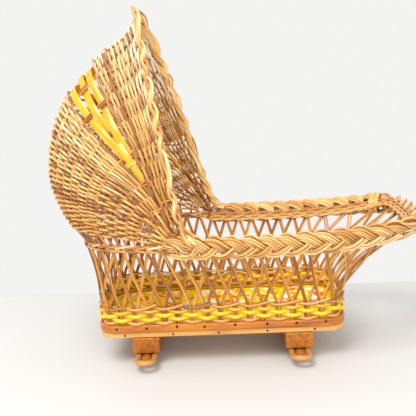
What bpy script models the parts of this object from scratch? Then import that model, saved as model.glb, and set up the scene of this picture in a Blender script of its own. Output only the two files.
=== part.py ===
"""Hooded wicker doll's cradle on two wooden rocker feet, built part by part.

Units are metres.  +X points to the foot end, +Y to the far side, +Z up.
The rockers touch the ground plane z = 0 halfway across the cradle.
"""
import bpy
import math
from mathutils import Vector

MM = 0.001

# Where the base sits along X, so that the whole cradle is centred on x = 0.
BASE_X = -22.0 * MM

# Wooden base.
BOARD_BOTTOM = 36.0 * MM
BOARD_THICK = 6.5 * MM
BOARD_HALF_LENGTH = 147.0 * MM
BOARD_HALF_WIDTH = 71.0 * MM
BOARD_CHAMFER = 11.0 * MM
STRIP_HEIGHT = 9.5 * MM
STRIP_THICK = 4.0 * MM
STRIP_HALF_LENGTH = 150.0 * MM
STRIP_HALF_WIDTH = 74.0 * MM
STRIP_CORNER = 26.0 * MM
FLOOR_THICK = 5.0 * MM
LINER_THICK = 1.2 * MM
LINER_HALF_LENGTH = 133.0 * MM
LINER_HALF_WIDTH = 64.0 * MM
LINER_TO_FOOT = 7.0 * MM
LINER_CORNER = 20.0 * MM
CORNER_STEPS = 6
FLOOR_CLEARANCE = 0.5 * MM
GAP = 0.4 * MM

# Rocker feet.
ROCKER_RADIUS = 300.0 * MM
ROCKER_OFFSET = 92.5 * MM
ROD_RADIUS = 3.5 * MM
ROD_LOOP_HALF_WIDTH = 9.6 * MM
ROD_HALF_SPAN = 97.0 * MM
BAR_HALF_WIDTH = 5.2 * MM
BAR_HALF_SPAN = 86.0 * MM
BAR_THICK = 5.0 * MM
BAR_LIFT = 1.6 * MM
BLOCK_HALF_LENGTH = 16.5 * MM
BLOCK_HALF_WIDTH = 72.0 * MM
ROCKER_STEPS = 18
ROD_STEPS = 12
ROD_TURN_STEPS = 8

# Woven band round the base.
WEAVE_HALF_LENGTH = 146.5 * MM
WEAVE_HALF_WIDTH = 70.5 * MM
WEAVE_CORNER = 28.0 * MM
WEAVE_ROW_HEIGHT = 4.3 * MM
WEAVE_ROW_THICK = 5.0 * MM
WEAVE_WAVE = 1.3 * MM
WEAVE_SPREAD = 0.35 * MM
SAMPLES_PER_STAKE = 2
WEAVE_ROWS = (("weave_row_natural_low", "cane"), ("weave_row_yellow_low", "yellow"),
              ("weave_row_yellow_mid", "yellow"), ("weave_row_gold", "gold"),
              ("weave_row_waling", "cane_light"))

# Stakes: groups are counted round the base from the middle of the foot end.
STAKE_GROUPS = 48
STAKE_HALF_LENGTH = 148.0 * MM
STAKE_HALF_WIDTH = 72.0 * MM
TOP_SIDE_SAMPLES = 160
TOP_HEAD_SAMPLES = 100
HEAD_CORNER_POWER = 6
STRAND_THICK = 3.0 * MM
LATTICE_CLEARANCE = 2.2 * MM
TOP_CLEARANCE = 3.6 * MM
LATTICE_PANELS = (("foot_lattice", -5, 5), ("far_lattice", 6, 18),
                  ("head_lattice", 19, 29), ("near_lattice", 30, 42))
PANEL_GAP = 0.16
CROSSINGS = (0.34, 0.67)
LEAN_ALONG = 1.085
LEAN_ACROSS = 1.35
LEAN_CURVE = 1.35

# Rim and hood: the hood fans out from a pivot on each side of the rim.
PIVOT_X = -44.9 * MM
PIVOT_Z = 151.9 * MM
PIVOT_SKEW = 15.4 * MM
RIM_HALF_WIDTH = 94.7 * MM
RIM_FOOT_X = 215.7 * MM
RIM_SQUARENESS = 4.5
RIM_DIP = 2.7 * MM
RIM_FOOT_RISE = 9.8 * MM
RIM_FINE_STEPS = 600
RIM_SAMPLES = 81
RIM_ENDS = (0.0006, 0.9994)
OVAL_SIDES = 8
PLAIT_HALF_WIDTH = 14.5 * MM
PLAIT_HALF_THICK = 5.0 * MM
PLAIT_TILT = math.radians(42.0)
HOOD_ANGLE = 1.352
HOOD_REACH = ((0.0, 0.138), (0.30, 0.195), (0.58, 0.2273), (0.82, 0.245), (0.93, 0.253),
              (1.0, 0.2747))
REACH_POWER = (0.85, 0.59)
SIDE_POWER = (0.85, 0.71)
ROW_BEND = 0.89
NORMAL_STEP = 0.004
LOWER_WEAVE = (9.5, 49.2)
YELLOW_STARTS = (50.3, 53.6, 56.9)
YELLOW_SPAN = 2.5
FRONT_WEAVE_START = 60.3
LOWER_WEAVE_PHI = 0.17
YELLOW_PHI = 0.40
FRONT_WEAVE_PHI = 0.46
YELLOW_HALF_THICK = 0.6 * MM
SHELL_HALF_THICK = 1.5 * MM
LOWER_GRID = (12, 32)
YELLOW_GRID = (1, 32)
FRONT_GRID = (10, 28)
SHELL_WAVE = 0.8 * MM
WALING_DROP = 10.5 * MM
WALING_PHI = 0.14
WALING_HALF_HEIGHT = 2.6 * MM
WALING_HALF_WIDTH = 4.2 * MM
WALING_LOWERED = 3.0 * MM
WALING_SAMPLES = 41
WALING_SIDES = 6
EDGE_HALF_WIDTH = 8.0 * MM
EDGE_HALF_THICK = 5.0 * MM
EDGE_PHI = 0.115
EDGE_CLEARANCE = 1.5 * MM
EDGE_SAMPLES = 53
RIB_COUNT = 9
RIB_SPREAD = 0.14
RIB_START = math.radians(5.5)
RIB_END = 0.88 * HOOD_ANGLE
RIB_OFFSET = -6.6 * MM
RIB_HALF_WIDTH = 3.0 * MM
RIB_HALF_THICK = 1.3 * MM
RIB_STEPS = 28
STRAND_WAVE = 0.9 * MM
BINDING_SAMPLES = (53, 54, 55, 56)
BINDING_GAP = 1.0 * MM
BINDING_THICK = 1.4 * MM

COLOURS = {
    "cane": (0.72, 0.46, 0.22, 1.0),
    "cane_light": (0.82, 0.58, 0.30, 1.0),
    "yellow": (0.93, 0.68, 0.06, 1.0),
    "gold": (0.80, 0.52, 0.10, 1.0),
    "strip": (0.66, 0.36, 0.14, 1.0),
    "board": (0.78, 0.52, 0.26, 1.0),
    "varnish": (0.45, 0.20, 0.06, 1.0),
    "print": (0.90, 0.72, 0.10, 1.0),
}


def clear_scene():
    for item in list(bpy.data.objects):
        bpy.data.objects.remove(item, do_unlink=True)


def new_collection(name):
    collection = bpy.data.collections.new(name)
    bpy.context.scene.collection.children.link(collection)
    return collection


def make_material(name, colour, roughness=0.55):
    material = bpy.data.materials.new(name)
    material.use_nodes = True
    shader = material.node_tree.nodes["Principled BSDF"]
    shader.inputs["Base Color"].default_value = colour
    shader.inputs["Roughness"].default_value = roughness
    material.diffuse_color = colour
    return material


def enclosed_volume(verts, faces):
    """Signed volume: positive when the faces are wound to point outwards."""
    total = 0.0
    for face in faces:
        first = verts[face[0]]
        for b, c in zip(face[1:], face[2:]):
            total += first.dot(verts[b].cross(verts[c]))
    return total / 6


def add_part(collection, name, verts, faces, colour):
    if enclosed_volume(verts, faces) < 0:
        faces = [tuple(reversed(face)) for face in faces]
    mesh = bpy.data.meshes.new(name)
    mesh.from_pydata([tuple(v) for v in verts], [], faces)
    mesh.validate()
    mesh.update()
    part = bpy.data.objects.new(name, mesh)
    part.data.materials.append(make_material(name + "_finish", COLOURS[colour]))
    collection.objects.link(part)
    return part


def tube(sections, closed):
    """Faces and vertices of a tube through equal-sized sections."""
    size = len(sections[0])
    count = len(sections)
    verts = [point for section in sections for point in section]
    faces = []
    for i in range(count if closed else count - 1):
        a = i * size
        b = ((i + 1) % count) * size
        for j in range(size):
            k = (j + 1) % size
            faces.append((a + j, a + k, b + k, b + j))
    if not closed:
        faces.append(tuple(range(size - 1, -1, -1)))
        faces.append(tuple(range((count - 1) * size, count * size)))
    return verts, faces


def sweep(path, outward, profile, closed):
    """Sweep a profile (across, out) along a path, 'out' following the outward list."""
    sections = []
    count = len(path)
    for i in range(count):
        before = path[(i - 1) % count] if closed or i > 0 else path[i]
        after = path[(i + 1) % count] if closed or i < count - 1 else path[i]
        along = (after - before).normalized()
        out = (outward[i] - along * outward[i].dot(along)).normalized()
        across = along.cross(out)
        sections.append([path[i] + across * a + out * b for a, b in profile])
    return tube(sections, closed)


def oval(half_across, half_out, sides):
    step = 2 * math.pi / sides
    return [(half_across * math.cos(step * (k + 0.5)), half_out * math.sin(step * (k + 0.5)))
            for k in range(sides)]


def flat_profile(half_across, half_out):
    return [(half_across, half_out), (-half_across, half_out),
            (-half_across, -half_out), (half_across, -half_out)]


def outline_legs(half_x, half_y, corner):
    """Lengths of the sides and corners of a rounded rectangle, from the middle of its +X side."""
    straight_x = 2 * (half_x - corner)
    straight_y = 2 * (half_y - corner)
    arc = math.pi / 2 * corner
    legs = [straight_y / 2, arc, straight_x, arc, straight_y, arc, straight_x, arc, straight_y / 2]
    return legs, sum(legs)


def rounded_outline(half_x, half_y, corner, count):
    """Points and outward directions at equal steps round a rounded rectangle."""
    legs, total = outline_legs(half_x, half_y, corner)
    return [outline_at(total * k / count, legs, half_x, half_y, corner) for k in range(count)]


def outline_at(distance, legs, half_x, half_y, corner):
    leg = 0
    while distance > legs[leg] and leg < 8:
        distance -= legs[leg]
        leg += 1
    inner_x = half_x - corner
    inner_y = half_y - corner
    if leg == 0:
        return Vector((half_x, distance, 0)), Vector((1, 0, 0))
    if leg == 2:
        return Vector((inner_x - distance, half_y, 0)), Vector((0, 1, 0))
    if leg == 4:
        return Vector((-half_x, inner_y - distance, 0)), Vector((-1, 0, 0))
    if leg == 6:
        return Vector((-inner_x + distance, -half_y, 0)), Vector((0, -1, 0))
    if leg == 8:
        return Vector((half_x, -inner_y + distance, 0)), Vector((1, 0, 0))
    centre, start = {1: ((inner_x, inner_y), 0.0), 3: ((-inner_x, inner_y), 90.0),
                     5: ((-inner_x, -inner_y), 180.0), 7: ((inner_x, -inner_y), 270.0)}[leg]
    angle = math.radians(start) + distance / corner
    out = Vector((math.cos(angle), math.sin(angle), 0))
    return Vector((centre[0], centre[1], 0)) + out * corner, out


def finish_part(collection, part, colour):
    part.data.materials.append(make_material(part.name + "_finish", COLOURS[colour]))
    collection.objects.link(part)
    return part


def add_spline(curve, points, cyclic):
    spline = curve.splines.new("POLY")
    spline.points.add(len(points) - 1)
    for target, point in zip(spline.points, points):
        target.co = (point[0], point[1], point[2] if len(point) > 2 else 0.0, 1.0)
    spline.use_cyclic_u = cyclic


def plate(collection, name, outlines, thick, colour):
    """Flat piece cut to an outline; a second outline is a hole.  It lies centred on z = 0."""
    curve = bpy.data.curves.new(name, "CURVE")
    curve.dimensions = "2D"
    curve.fill_mode = "BOTH"
    curve.extrude = thick / 2
    for outline in outlines:
        add_spline(curve, outline, True)
    return finish_part(collection, bpy.data.objects.new(name, curve), colour)


def rod(collection, name, points, radius, cyclic, colour):
    curve = bpy.data.curves.new(name, "CURVE")
    curve.dimensions = "3D"
    curve.bevel_depth = radius
    curve.bevel_resolution = 2
    curve.use_fill_caps = not cyclic
    add_spline(curve, points, cyclic)
    return finish_part(collection, bpy.data.objects.new(name, curve), colour)


def woven_skin(collection, name, rows, half_thick, colour):
    """Closed shell grown both ways from an open grid of points with Solidify."""
    width = len(rows[0])
    verts = [tuple(point) for row in rows for point in row]
    faces = []
    for i in range(len(rows) - 1):
        for j in range(width - 1):
            a = i * width + j
            faces.append((a, a + 1, a + width + 1, a + width))
    mesh = bpy.data.meshes.new(name)
    mesh.from_pydata(verts, [], faces)
    skin = bpy.data.objects.new(name, mesh)
    solid = skin.modifiers.new("thickness", "SOLIDIFY")
    solid.thickness = 2 * half_thick
    solid.offset = 0.0
    return finish_part(collection, skin, colour)


def hood_reach(share):
    """Distance from the pivot line to the crown, smooth through the HOOD_REACH knots."""
    knots = HOOD_REACH
    span = 0
    while span < len(knots) - 2 and share > knots[span + 1][0]:
        span += 1
    (x0, y0), (x1, y1) = knots[span], knots[span + 1]
    slopes = []
    for k in (span, span + 1):
        low = max(k - 1, 0)
        high = min(k + 1, len(knots) - 1)
        slopes.append((knots[high][1] - knots[low][1]) / (knots[high][0] - knots[low][0]))
    t = (share - x0) / (x1 - x0)
    h = x1 - x0
    return ((2 * t ** 3 - 3 * t ** 2 + 1) * y0 + (t ** 3 - 2 * t ** 2 + t) * h * slopes[0]
            + (3 * t ** 2 - 2 * t ** 3) * y1 + (t ** 3 - t ** 2) * h * slopes[1])


def radial_at(theta, phi):
    share = theta / HOOD_ANGLE
    power = REACH_POWER[0] + REACH_POWER[1] * share
    return hood_reach(share) * math.sin(phi) ** power


def hood_base(theta, phi):
    share = theta / HOOD_ANGLE
    side = -math.cos(phi)
    side_power = SIDE_POWER[0] + SIDE_POWER[1] * share
    y = RIM_HALF_WIDTH * math.copysign(abs(side) ** side_power, side)
    reach = radial_at(theta, phi)
    x = PIVOT_X + PIVOT_SKEW * y / RIM_HALF_WIDTH - math.cos(theta) * reach
    return Vector((x, y, PIVOT_Z + math.sin(theta) * reach))


def hood_normal(theta, phi):
    step = NORMAL_STEP
    du = hood_base(theta + step, phi) - hood_base(theta - step, phi)
    dv = hood_base(theta, phi + step) - hood_base(theta, phi - step)
    return du.cross(dv).normalized()


def hood_point(theta, phi, offset):
    return hood_base(theta, phi) + hood_normal(theta, phi) * offset


def rim_point(share):
    """Centre of the rim plait, share 0 at the near pivot to 1 at the far pivot."""
    angle = share * math.pi
    power = 2.0 / RIM_SQUARENESS
    c = math.cos(angle)
    side = -math.copysign(abs(c) ** power, c)
    forward = math.sin(angle) ** power
    x = PIVOT_X + PIVOT_SKEW * side * (1 - forward) + (RIM_FOOT_X - PIVOT_X) * forward
    z = PIVOT_Z - RIM_DIP * 4 * forward * (1 - forward) + RIM_FOOT_RISE * forward ** 2
    return Vector((x, RIM_HALF_WIDTH * side, z))


def rim_path(start, end, count):
    """Evenly spaced rim points with outward directions."""
    fine = [rim_point(start + (end - start) * k / RIM_FINE_STEPS) for k in range(RIM_FINE_STEPS + 1)]
    lengths = [0.0]
    for a, b in zip(fine, fine[1:]):
        lengths.append(lengths[-1] + (b - a).length)
    points = []
    k = 0
    for i in range(count):
        target = lengths[-1] * i / (count - 1)
        while k < RIM_FINE_STEPS - 1 and lengths[k + 1] < target:
            k += 1
        t = (target - lengths[k]) / max(lengths[k + 1] - lengths[k], 1e-9)
        points.append(fine[k].lerp(fine[k + 1], t))
    outward = []
    for i in range(count):
        along = points[min(i + 1, count - 1)] - points[max(i - 1, 0)]
        outward.append(Vector((along.y, -along.x, 0)).normalized())
    return points, outward


def build_base(parts):
    c = BOARD_CHAMFER
    a = BOARD_HALF_LENGTH
    b = BOARD_HALF_WIDTH
    corners = [(a, -b + c), (a, b - c), (a - c, b), (-a + c, b),
               (-a, b - c), (-a, -b + c), (-a + c, -b), (a - c, -b)]
    board = plate(parts, "base_board", [corners], BOARD_THICK, "board")
    board.location = (BASE_X, 0, BOARD_BOTTOM + BOARD_THICK / 2)

    bottom = BOARD_BOTTOM + BOARD_THICK + GAP
    outer = corner_outline(STRIP_HALF_LENGTH, STRIP_HALF_WIDTH, STRIP_CORNER)
    inner = corner_outline(STRIP_HALF_LENGTH - STRIP_THICK, STRIP_HALF_WIDTH - STRIP_THICK,
                           STRIP_CORNER - STRIP_THICK)
    strip = plate(parts, "base_edge_strip", [outer, inner], STRIP_HEIGHT, "strip")
    strip.location = (BASE_X, 0, bottom + STRIP_HEIGHT / 2)

    inset = STRIP_THICK + FLOOR_CLEARANCE
    outline = corner_outline(STRIP_HALF_LENGTH - inset, STRIP_HALF_WIDTH - inset,
                             STRIP_CORNER - inset)
    floor = plate(parts, "floor_board", [outline], FLOOR_THICK, "board")
    floor.location = (BASE_X, 0, bottom + FLOOR_THICK / 2)

    outline = corner_outline(LINER_HALF_LENGTH, LINER_HALF_WIDTH, LINER_CORNER)
    liner = plate(parts, "floor_liner", [outline], LINER_THICK, "print")
    liner.location = (BASE_X + LINER_TO_FOOT, 0, bottom + FLOOR_THICK + GAP + LINER_THICK / 2)


def corner_outline(half_x, half_y, corner):
    """Rounded rectangle as four arcs joined by straight sides."""
    points = []
    for quarter, (sx, sy) in enumerate(((1, 1), (-1, 1), (-1, -1), (1, -1))):
        for step in range(CORNER_STEPS + 1):
            angle = math.pi / 2 * (quarter + step / CORNER_STEPS)
            points.append((sx * (half_x - corner) + corner * math.cos(angle),
                           sy * (half_y - corner) + corner * math.sin(angle)))
    return points


def rocker_height(y):
    return ROCKER_RADIUS - math.sqrt(ROCKER_RADIUS ** 2 - y ** 2)


def arc_points(half_span, lift, steps):
    """Points (y, z) along the rocker's curve, raised by lift."""
    ys = [half_span * (2 * k / steps - 1) for k in range(steps + 1)]
    return [(y, rocker_height(y) + lift) for y in ys]


def side_plate(parts, name, outline, centre_x, thick, colour):
    """Plate drawn in the (y, z) plane and stood up across the cradle."""
    piece = plate(parts, name, [outline], thick, colour)
    piece.rotation_euler = (math.pi / 2, 0, math.pi / 2)
    piece.location = (centre_x, 0, 0)
    return piece


def build_rocker(parts, end, centre_x):
    top = BOARD_BOTTOM - GAP
    curve = arc_points(BLOCK_HALF_WIDTH, 2 * ROD_RADIUS + GAP, ROCKER_STEPS)
    outline = curve + [(BLOCK_HALF_WIDTH, top), (-BLOCK_HALF_WIDTH, top)]
    side_plate(parts, "rocker_block_" + end, outline, centre_x, 2 * BLOCK_HALF_LENGTH, "varnish")

    underside = arc_points(BAR_HALF_SPAN, BAR_LIFT, ROCKER_STEPS)
    upside = arc_points(BAR_HALF_SPAN, BAR_LIFT + BAR_THICK, ROCKER_STEPS)
    side_plate(parts, "rocker_bar_" + end, underside + upside[::-1], centre_x,
               2 * BAR_HALF_WIDTH, "strip")

    straight = ROD_HALF_SPAN - ROD_LOOP_HALF_WIDTH
    half_loop = [(ROD_LOOP_HALF_WIDTH, straight * (2 * k / ROD_STEPS - 1)) for k in range(ROD_STEPS + 1)]
    for k in range(1, ROD_TURN_STEPS):
        angle = math.pi * k / ROD_TURN_STEPS
        half_loop.append((ROD_LOOP_HALF_WIDTH * math.cos(angle),
                          straight + ROD_LOOP_HALF_WIDTH * math.sin(angle)))
    loop = half_loop + [(-x, -y) for x, y in half_loop]
    points = [(centre_x + x, y, rocker_height(y) + ROD_RADIUS) for x, y in loop]
    rod(parts, "rocker_rod_" + end, points, ROD_RADIUS, True, "cane_light")


def weave_bottom():
    return BOARD_BOTTOM + BOARD_THICK + GAP + STRIP_HEIGHT + GAP


def build_base_weave(parts):
    samples = STAKE_GROUPS * SAMPLES_PER_STAKE
    profile = flat_profile(WEAVE_ROW_HEIGHT / 2, WEAVE_ROW_THICK / 2)
    for row, (name, colour) in enumerate(WEAVE_ROWS):
        level = weave_bottom() + row * (WEAVE_ROW_HEIGHT + GAP) + WEAVE_ROW_HEIGHT / 2
        spread = WEAVE_SPREAD * row
        outline = rounded_outline(WEAVE_HALF_LENGTH + spread, WEAVE_HALF_WIDTH + spread,
                                  WEAVE_CORNER, samples)
        path = []
        for k, (point, out) in enumerate(outline):
            wave = WEAVE_WAVE * math.cos(math.pi * k / 2 + math.pi * row)
            path.append(point + out * wave + Vector((BASE_X, 0, level)))
        add_part(parts, name, *sweep(path, [n for _, n in outline], profile, True), colour)


def wall_top_outline():
    """Closed curve, just inside the rim, that the stakes lean out to."""
    rim, outward = rim_path(0.0, 1.0, TOP_SIDE_SAMPLES)
    drop = PLAIT_HALF_WIDTH * math.cos(PLAIT_TILT) + PLAIT_HALF_THICK * math.sin(PLAIT_TILT) + TOP_CLEARANCE
    inset = PLAIT_HALF_WIDTH * math.sin(PLAIT_TILT)
    points = [p - n * inset + Vector((0, 0, -drop)) for p, n in zip(rim, outward)]
    for k in range(1, TOP_HEAD_SAMPLES):
        turn = math.pi * k / TOP_HEAD_SAMPLES
        head = hood_base(0.0, math.pi - turn)
        side = abs(math.cos(turn)) ** HEAD_CORNER_POWER
        inward = Vector((PIVOT_X, 0, 0)) - Vector((head.x, head.y, 0))
        fall = WALING_DROP + (drop - WALING_DROP) * side
        points.append(head + inward.normalized() * inset * side + Vector((0, 0, -fall)))
    return points


def wall_top(direction_x, direction_y, outline):
    """Outline point seen from the base centre in the given direction."""
    angle = math.atan2(direction_y, direction_x)
    best = None
    for a, b in zip(outline, outline[1:] + outline[:1]):
        first = math.atan2(a.y, a.x - BASE_X)
        second = math.atan2(b.y, b.x - BASE_X)
        sweep_angle = (second - first + math.pi) % (2 * math.pi) - math.pi
        ahead = (angle - first + math.pi) % (2 * math.pi) - math.pi
        if sweep_angle and 0 <= ahead / sweep_angle < 1:
            best = a.lerp(b, ahead / sweep_angle)
    return best


def lattice_point(place, level, outline):
    """Point on the leaning wall: place counts stake groups, level runs from weave to rim."""
    low = stake_foot(place)
    high = wall_top(LEAN_ALONG * low.x, LEAN_ACROSS * low.y, outline)
    lean = level ** LEAN_CURVE
    bottom = weave_bottom() + len(WEAVE_ROWS) * (WEAVE_ROW_HEIGHT + GAP) + LATTICE_CLEARANCE
    x = (low.x + BASE_X) * (1 - lean) + high.x * lean
    y = low.y * (1 - lean) + high.y * lean
    return Vector((x, y, bottom * (1 - level) + high.z * level))


def stake_foot(place):
    legs, total = outline_legs(STAKE_HALF_LENGTH, STAKE_HALF_WIDTH, WEAVE_CORNER)
    distance = total * (place / STAKE_GROUPS % 1.0)
    return outline_at(distance, legs, STAKE_HALF_LENGTH, STAKE_HALF_WIDTH, WEAVE_CORNER)[0]


def build_lattice(parts):
    """Open diamonds of stakes between base weave and rim, as one welded frame per side."""
    outline = wall_top_outline()
    for name, first, last in LATTICE_PANELS:
        groups = last - first + 1
        whole = [first + k for k in range(groups)]
        halves = [first + k - 0.5 for k in range(groups + 1)]
        halves[0] += PANEL_GAP
        halves[-1] -= PANEL_GAP
        verts = []
        starts = []
        for places, level in ((whole, 0.0), (halves, CROSSINGS[0]), (whole, CROSSINGS[1]), (halves, 1.0)):
            starts.append(len(verts))
            verts += [lattice_point(place, level, outline) for place in places]
        foot, low, middle, top = starts
        faces = [(low, middle, top), (low + groups, top + groups, middle + groups - 1)]
        for k in range(groups):
            faces.append((foot + k, low + k + 1, middle + k, low + k))
            faces.append((top + k, middle + k, top + k + 1))
        for k in range(groups - 1):
            faces.append((foot + k, foot + k + 1, low + k + 1))
            faces.append((low + k + 1, middle + k + 1, top + k + 1, middle + k))
        mesh = bpy.data.meshes.new(name)
        mesh.from_pydata(verts, [], faces)
        panel = finish_part(parts, bpy.data.objects.new(name, mesh), "cane")
        frame = panel.modifiers.new("strands", "WIREFRAME")
        frame.thickness = STRAND_THICK
        frame.use_replace = True
        frame.use_boundary = True
        frame.use_even_offset = True


def build_rim(parts):
    across = PLAIT_HALF_WIDTH / math.cos(math.pi / OVAL_SIDES)
    profile = oval(across, PLAIT_HALF_THICK, OVAL_SIDES)
    points, outward = rim_path(*RIM_ENDS, RIM_SAMPLES)
    lean = [n * math.cos(PLAIT_TILT) + Vector((0, 0, -math.sin(PLAIT_TILT))) for n in outward]
    path = [p + w * STRAND_WAVE * math.cos(math.pi * k / 2)
            for k, (p, w) in enumerate(zip(points, lean))]
    add_part(parts, "rim_plait", *sweep(path, lean, profile, False), "cane_light")

    clear = BINDING_GAP
    full = BINDING_GAP + BINDING_THICK
    inner = oval(across + clear, PLAIT_HALF_THICK + STRAND_WAVE + clear, OVAL_SIDES)
    outer = oval(across + full, PLAIT_HALF_THICK + STRAND_WAVE + full, OVAL_SIDES)
    sections = []
    for profile, order in ((outer, BINDING_SAMPLES), (inner, BINDING_SAMPLES[::-1])):
        verts, _ = sweep([points[k] for k in order], [lean[k] for k in order], profile, False)
        rows = [verts[i * OVAL_SIDES:(i + 1) * OVAL_SIDES] for i in range(len(order))]
        if profile is inner:
            rows = [flip_row(row) for row in rows]
        sections += rows
    add_part(parts, "rim_binding", *tube(sections, True), "cane_light")


def flip_row(row):
    """Renumber a section swept the other way so that it lines up with the first sweep."""
    half = OVAL_SIDES // 2
    return [row[(half - 1 - j) % OVAL_SIDES] for j in range(OVAL_SIDES)]


def build_waling(parts):
    profile = oval(WALING_HALF_WIDTH, WALING_HALF_HEIGHT, WALING_SIDES)
    path = []
    outward = []
    for k in range(WALING_SAMPLES):
        phi = WALING_PHI + (math.pi - 2 * WALING_PHI) * k / (WALING_SAMPLES - 1)
        wave = SHELL_WAVE * math.cos(math.pi * k / 2)
        path.append(hood_base(0.0, phi) + Vector((0, 0, wave - WALING_LOWERED)))
        outward.append(Vector((-math.sin(phi), -math.cos(phi), 0)))
    add_part(parts, "head_waling", *sweep(path, outward, profile, False), "cane_light")


def hood_shell(parts, name, colour, low, high, phi_start, grid_size, half_thick):
    """Thin woven shell between two fan angles, its rows waving in and out of the stakes."""
    rows, columns = grid_size
    grid = []
    for i in range(rows + 1):
        row = []
        for j in range(columns + 1):
            phi = phi_start + (math.pi - 2 * phi_start) * j / columns
            theta = bent(low(phi) + (high(phi) - low(phi)) * i / rows, phi)
            row.append(hood_point(theta, phi, SHELL_WAVE if (i + j) % 2 else -SHELL_WAVE))
        grid.append(row)
    woven_skin(parts, name, grid, half_thick, colour)


def constant(degrees):
    return lambda phi: math.radians(degrees)


def below_edge(phi):
    return HOOD_ANGLE - (EDGE_HALF_WIDTH + EDGE_CLEARANCE) / radial_at(HOOD_ANGLE, phi)


def bent(theta, phi):
    """Rows sag towards the hood's front edge as they near the pivot on each side."""
    room = max(below_edge(phi) - theta, 0.0)
    return theta + ROW_BEND * theta * room * (1 - math.sin(phi)) ** 2


def build_hood(parts):
    hood_shell(parts, "hood_lower_weave", "cane", constant(LOWER_WEAVE[0]), constant(LOWER_WEAVE[1]),
               LOWER_WEAVE_PHI, LOWER_GRID, SHELL_HALF_THICK)
    for number, angle in enumerate(YELLOW_STARTS, 1):
        hood_shell(parts, "hood_yellow_strip_" + str(number), "yellow", constant(angle),
                   constant(angle + YELLOW_SPAN), YELLOW_PHI, YELLOW_GRID, YELLOW_HALF_THICK)
    hood_shell(parts, "hood_front_weave", "cane", constant(FRONT_WEAVE_START), below_edge,
               FRONT_WEAVE_PHI, FRONT_GRID, SHELL_HALF_THICK)

    profile = oval(EDGE_HALF_WIDTH, EDGE_HALF_THICK, OVAL_SIDES)
    path = []
    outward = []
    for k in range(EDGE_SAMPLES):
        phi = EDGE_PHI + (math.pi - 2 * EDGE_PHI) * k / (EDGE_SAMPLES - 1)
        path.append(hood_point(HOOD_ANGLE, phi, STRAND_WAVE * math.cos(math.pi * k / 2)))
        outward.append(hood_normal(HOOD_ANGLE, phi))
    add_part(parts, "hood_edge_braid", *sweep(path, outward, profile, False), "cane_light")

    for rib in range(RIB_COUNT):
        phi = math.pi * (RIB_SPREAD + (1 - 2 * RIB_SPREAD) * rib / (RIB_COUNT - 1))
        angles = [RIB_START + (RIB_END - RIB_START) * k / RIB_STEPS for k in range(RIB_STEPS + 1)]
        path = [hood_point(angle, phi, RIB_OFFSET) for angle in angles]
        outward = [hood_normal(angle, phi) for angle in angles]
        stake = sweep(path, outward, flat_profile(RIB_HALF_WIDTH, RIB_HALF_THICK), False)
        add_part(parts, "hood_stake_" + str(rib + 1), *stake, "cane")


def main():
    clear_scene()
    parts = new_collection("wicker_doll_cradle")
    build_base(parts)
    build_rocker(parts, "head", BASE_X - ROCKER_OFFSET)
    build_rocker(parts, "foot", BASE_X + ROCKER_OFFSET)
    build_base_weave(parts)
    build_lattice(parts)
    build_rim(parts)
    build_waling(parts)
    build_hood(parts)


main()
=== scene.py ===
"""Looks of the hooded wicker doll's cradle: every cane, strip and board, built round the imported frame."""
import random
from math import cos, pi, radians, sin

import bmesh
import bpy
import numpy as np
from mathutils import Matrix, Vector


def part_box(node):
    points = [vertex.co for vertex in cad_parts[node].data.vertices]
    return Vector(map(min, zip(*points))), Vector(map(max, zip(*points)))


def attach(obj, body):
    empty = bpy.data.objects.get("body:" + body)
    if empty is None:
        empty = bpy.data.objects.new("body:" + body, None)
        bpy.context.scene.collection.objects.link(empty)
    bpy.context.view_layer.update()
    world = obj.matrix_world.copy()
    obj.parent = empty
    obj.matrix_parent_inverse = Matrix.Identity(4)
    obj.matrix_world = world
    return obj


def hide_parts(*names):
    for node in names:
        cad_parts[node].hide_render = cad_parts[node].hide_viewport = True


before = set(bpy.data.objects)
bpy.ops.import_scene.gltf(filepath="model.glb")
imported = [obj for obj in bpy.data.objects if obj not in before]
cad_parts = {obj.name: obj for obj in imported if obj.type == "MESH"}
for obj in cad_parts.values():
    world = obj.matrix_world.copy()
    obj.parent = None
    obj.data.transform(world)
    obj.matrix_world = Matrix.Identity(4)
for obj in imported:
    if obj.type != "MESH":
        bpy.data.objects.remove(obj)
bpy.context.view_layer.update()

MM = 0.001
UP = np.array((0.0, 0.0, 1.0))
FORWARD = np.array((1.0, 0.0, 0.0))
random.seed(7)

# ---- places read from the frame
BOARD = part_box("base_board")
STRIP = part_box("base_edge_strip")
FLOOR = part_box("floor_board")
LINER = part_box("floor_liner")
LOW_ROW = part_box("weave_row_natural_low")
TOP_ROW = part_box("weave_row_waling")
BASE_X = (BOARD[0][0] + BOARD[1][0]) / 2
WEAVE_Z = LOW_ROW[0][2]
WEAVE_TOP = TOP_ROW[1][2]
ROW_PITCH = (WEAVE_TOP - WEAVE_Z) / 5

# ---- the basket's shape, as in the CAD
PIVOT_X = -44.9 * MM
PIVOT_Z = 151.9 * MM
PIVOT_SKEW = 15.4 * MM
RIM_HALF_WIDTH = 94.7 * MM
RIM_FOOT_X = 215.7 * MM
RIM_SQUARENESS = 4.5
RIM_DIP = 2.7 * MM
RIM_FOOT_RISE = 9.8 * MM
HOOD_ANGLE = 1.352
HOOD_REACH = ((0.0, 0.138), (0.30, 0.195), (0.58, 0.2273), (0.82, 0.245), (0.93, 0.253), (1.0, 0.2747))
REACH_POWER = (0.85, 0.59)
SIDE_POWER = (0.85, 0.71)
ROW_BEND = 0.89
EDGE_ROOM = 9.5 * MM
WEAVE_HALF_LENGTH = 146.5 * MM
WEAVE_OUTLINE = (WEAVE_HALF_LENGTH, 70.5 * MM, 28.0 * MM)
STAKE_GROUPS = 48
LEAN_ALONG = 1.085
LEAN_FOOT = 0.16
LEAN_ACROSS = 1.35
LEAN_CURVE = 1.35

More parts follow.
